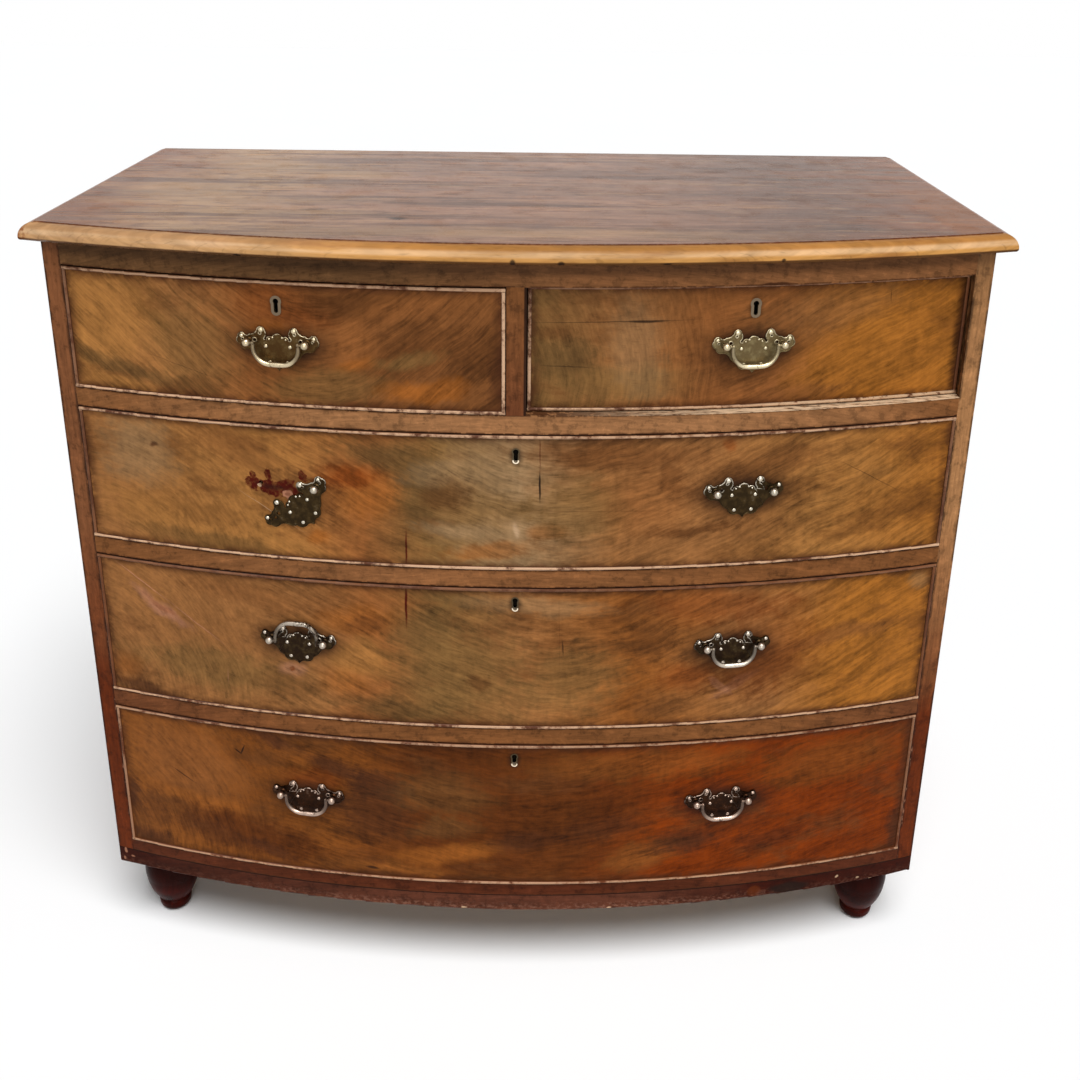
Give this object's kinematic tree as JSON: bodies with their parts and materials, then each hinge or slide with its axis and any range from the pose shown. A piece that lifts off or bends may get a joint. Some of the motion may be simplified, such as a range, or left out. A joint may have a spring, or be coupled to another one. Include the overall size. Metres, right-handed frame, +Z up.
{
  "type": "bow front chest of drawers",
  "caption": "Bow front chest of drawers with short drawers over long ones, turned feet, locks and pierced brass drop handles.",
  "frame": {"origin": "on the floor, under the middle of the box that holds the whole chest", "axes": "+X to the right across the front, +Y from the bowed front to the back, +Z up"},
  "size_m": [1.118, 0.6019, 0.9925],
  "materials": {
    "polished_mahogany": "french polished, worn at the edge",
    "mahogany": "old polish, satin",
    "figured_mahogany": "figured and faded, old polish",
    "cockbead_wood": "worn",
    "plinth_mahogany": "dark red stain, chipped",
    "dark_mahogany": "dark stain, satin",
    "inner_wood": "bare pine, dry",
    "lining_wood": "bare oak, dry",
    "lock_brass": "dull",
    "handle_brass": "cast, tarnished in the hollows",
    "bail_brass": "cast, rubbed bright"
  },
  "bodies": {
    "carcass": {"top_board": "polished_mahogany", "left_side": "mahogany", "right_side": "mahogany", "left_stile": "mahogany", "right_stile": "mahogany", "top_rail": "mahogany", "upper_drawer_rail": "mahogany", "middle_drawer_rail": "mahogany", "lower_drawer_rail": "mahogany", "bottom_rail": "mahogany", "short_drawer_divider": "mahogany", "front_plinth": "plinth_mahogany", "back_boards": "inner_wood", "bottom_board": "inner_wood", "runners_stops_and_blocks": "inner_wood", "front_left_foot": "dark_mahogany", "front_right_foot": "dark_mahogany", "back_left_foot": "dark_mahogany", "back_right_foot": "dark_mahogany"},
    "short_left_drawer": {"short_left_drawer_front": "figured_mahogany", "short_left_drawer_cockbead": "cockbead_wood", "short_left_drawer_box": "lining_wood", "short_left_drawer_bottom": "lining_wood", "short_left_drawer_lock": "lock_brass", "short_left_drawer_handle_mounts": "handle_brass"},
    "short_left_drawer_lock_bolt": {"short_left_drawer_lock_bolt": "lock_brass"},
    "short_left_bail": {"short_left_bail": "bail_brass"},
    "short_right_drawer": {"short_right_drawer_front": "figured_mahogany", "short_right_drawer_cockbead": "cockbead_wood", "short_right_drawer_box": "lining_wood", "short_right_drawer_bottom": "lining_wood", "short_right_drawer_lock": "lock_brass", "short_right_drawer_handle_mounts": "handle_brass"},
    "short_right_drawer_lock_bolt": {"short_right_drawer_lock_bolt": "lock_brass"},
    "short_right_bail": {"short_right_bail": "bail_brass"},
    "first_long_drawer": {"first_long_drawer_front": "figured_mahogany", "first_long_drawer_cockbead": "cockbead_wood", "first_long_drawer_box": "lining_wood", "first_long_drawer_bottom": "lining_wood", "first_long_drawer_lock": "lock_brass", "first_long_drawer_handle_mounts": "handle_brass"},
    "first_long_drawer_lock_bolt": {"first_long_drawer_lock_bolt": "lock_brass"},
    "second_long_drawer": {"second_long_drawer_front": "figured_mahogany", "second_long_drawer_cockbead": "cockbead_wood", "second_long_drawer_box": "lining_wood", "second_long_drawer_bottom": "lining_wood", "second_long_drawer_lock": "lock_brass", "second_long_drawer_handle_mounts": "handle_brass"},
    "second_long_drawer_lock_bolt": {"second_long_drawer_lock_bolt": "lock_brass"},
    "second_long_left_bail": {"second_long_left_bail": "bail_brass"},
    "second_long_right_bail": {"second_long_right_bail": "bail_brass"},
    "third_long_drawer": {"third_long_drawer_front": "figured_mahogany", "third_long_drawer_cockbead": "cockbead_wood", "third_long_drawer_box": "lining_wood", "third_long_drawer_bottom": "lining_wood", "third_long_drawer_lock": "lock_brass", "third_long_drawer_handle_mounts": "handle_brass"},
    "third_long_drawer_lock_bolt": {"third_long_drawer_lock_bolt": "lock_brass"},
    "third_long_left_bail": {"third_long_left_bail": "bail_brass"},
    "third_long_right_bail": {"third_long_right_bail": "bail_brass"}
  },
  "joints": [
    {"name": "short_left_drawer_slide", "type": "slide", "parent": "carcass", "child": "short_left_drawer", "axis": [0, -1, 0], "range_m": [0, 0.36]},
    {"name": "short_left_drawer_bolt_slide", "type": "slide", "parent": "short_left_drawer", "child": "short_left_drawer_lock_bolt", "axis": [0, 0, 1], "range_m": [0, 0.006]},
    {"name": "short_left_bail_hinge", "type": "hinge", "parent": "short_left_drawer", "child": "short_left_bail", "pos_m": [-0.26588, -0.27107, 0.8725], "axis": [-0.9894, 0.1454, 0], "range_deg": [-8, 188]},
    {"name": "short_right_drawer_slide", "type": "slide", "parent": "carcass", "child": "short_right_drawer", "axis": [0, -1, 0], "range_m": [0, 0.36]},
    {"name": "short_right_drawer_bolt_slide", "type": "slide", "parent": "short_right_drawer", "child": "short_right_drawer_lock_bolt", "axis": [0, 0, 1], "range_m": [0, 0.006]},
    {"name": "short_right_bail_hinge", "type": "hinge", "parent": "short_right_drawer", "child": "short_right_bail", "pos_m": [0.26588, -0.25707, 0.8725], "axis": [-0.9894, -0.1454, 0], "range_deg": [-8, 188]},
    {"name": "first_long_drawer_slide", "type": "slide", "parent": "carcass", "child": "first_long_drawer", "axis": [0, -1, 0], "range_m": [0, 0.36]},
    {"name": "first_long_drawer_bolt_slide", "type": "slide", "parent": "first_long_drawer", "child": "first_long_drawer_lock_bolt", "axis": [0, 0, 1], "range_m": [0, 0.006]},
    {"name": "second_long_drawer_slide", "type": "slide", "parent": "carcass", "child": "second_long_drawer", "axis": [0, -1, 0], "range_m": [0, 0.36]},
    {"name": "second_long_drawer_bolt_slide", "type": "slide", "parent": "second_long_drawer", "child": "second_long_drawer_lock_bolt", "axis": [0, 0, 1], "range_m": [0, 0.006]},
    {"name": "second_long_left_bail_hinge", "type": "hinge", "parent": "second_long_drawer", "child": "second_long_left_bail", "pos_m": [-0.26437, -0.27129, 0.494], "axis": [-0.9895, 0.1446, 0], "range_deg": [-200, 0]},
    {"name": "second_long_right_bail_hinge", "type": "hinge", "parent": "second_long_drawer", "child": "second_long_right_bail", "pos_m": [0.26437, -0.27129, 0.494], "axis": [-0.9895, -0.1446, 0], "range_deg": [-8, 188]},
    {"name": "third_long_drawer_slide", "type": "slide", "parent": "carcass", "child": "third_long_drawer", "axis": [0, -1, 0], "range_m": [0, 0.36]},
    {"name": "third_long_drawer_bolt_slide", "type": "slide", "parent": "third_long_drawer", "child": "third_long_drawer_lock_bolt", "axis": [0, 0, 1], "range_m": [0, 0.006]},
    {"name": "third_long_left_bail_hinge", "type": "hinge", "parent": "third_long_drawer", "child": "third_long_left_bail", "pos_m": [-0.26437, -0.27129, 0.267], "axis": [-0.9895, 0.1446, 0], "range_deg": [-8, 188]},
    {"name": "third_long_right_bail_hinge", "type": "hinge", "parent": "third_long_drawer", "child": "third_long_right_bail", "pos_m": [0.26437, -0.27129, 0.267], "axis": [-0.9895, -0.1446, 0], "range_deg": [-8, 188]}
  ]
}
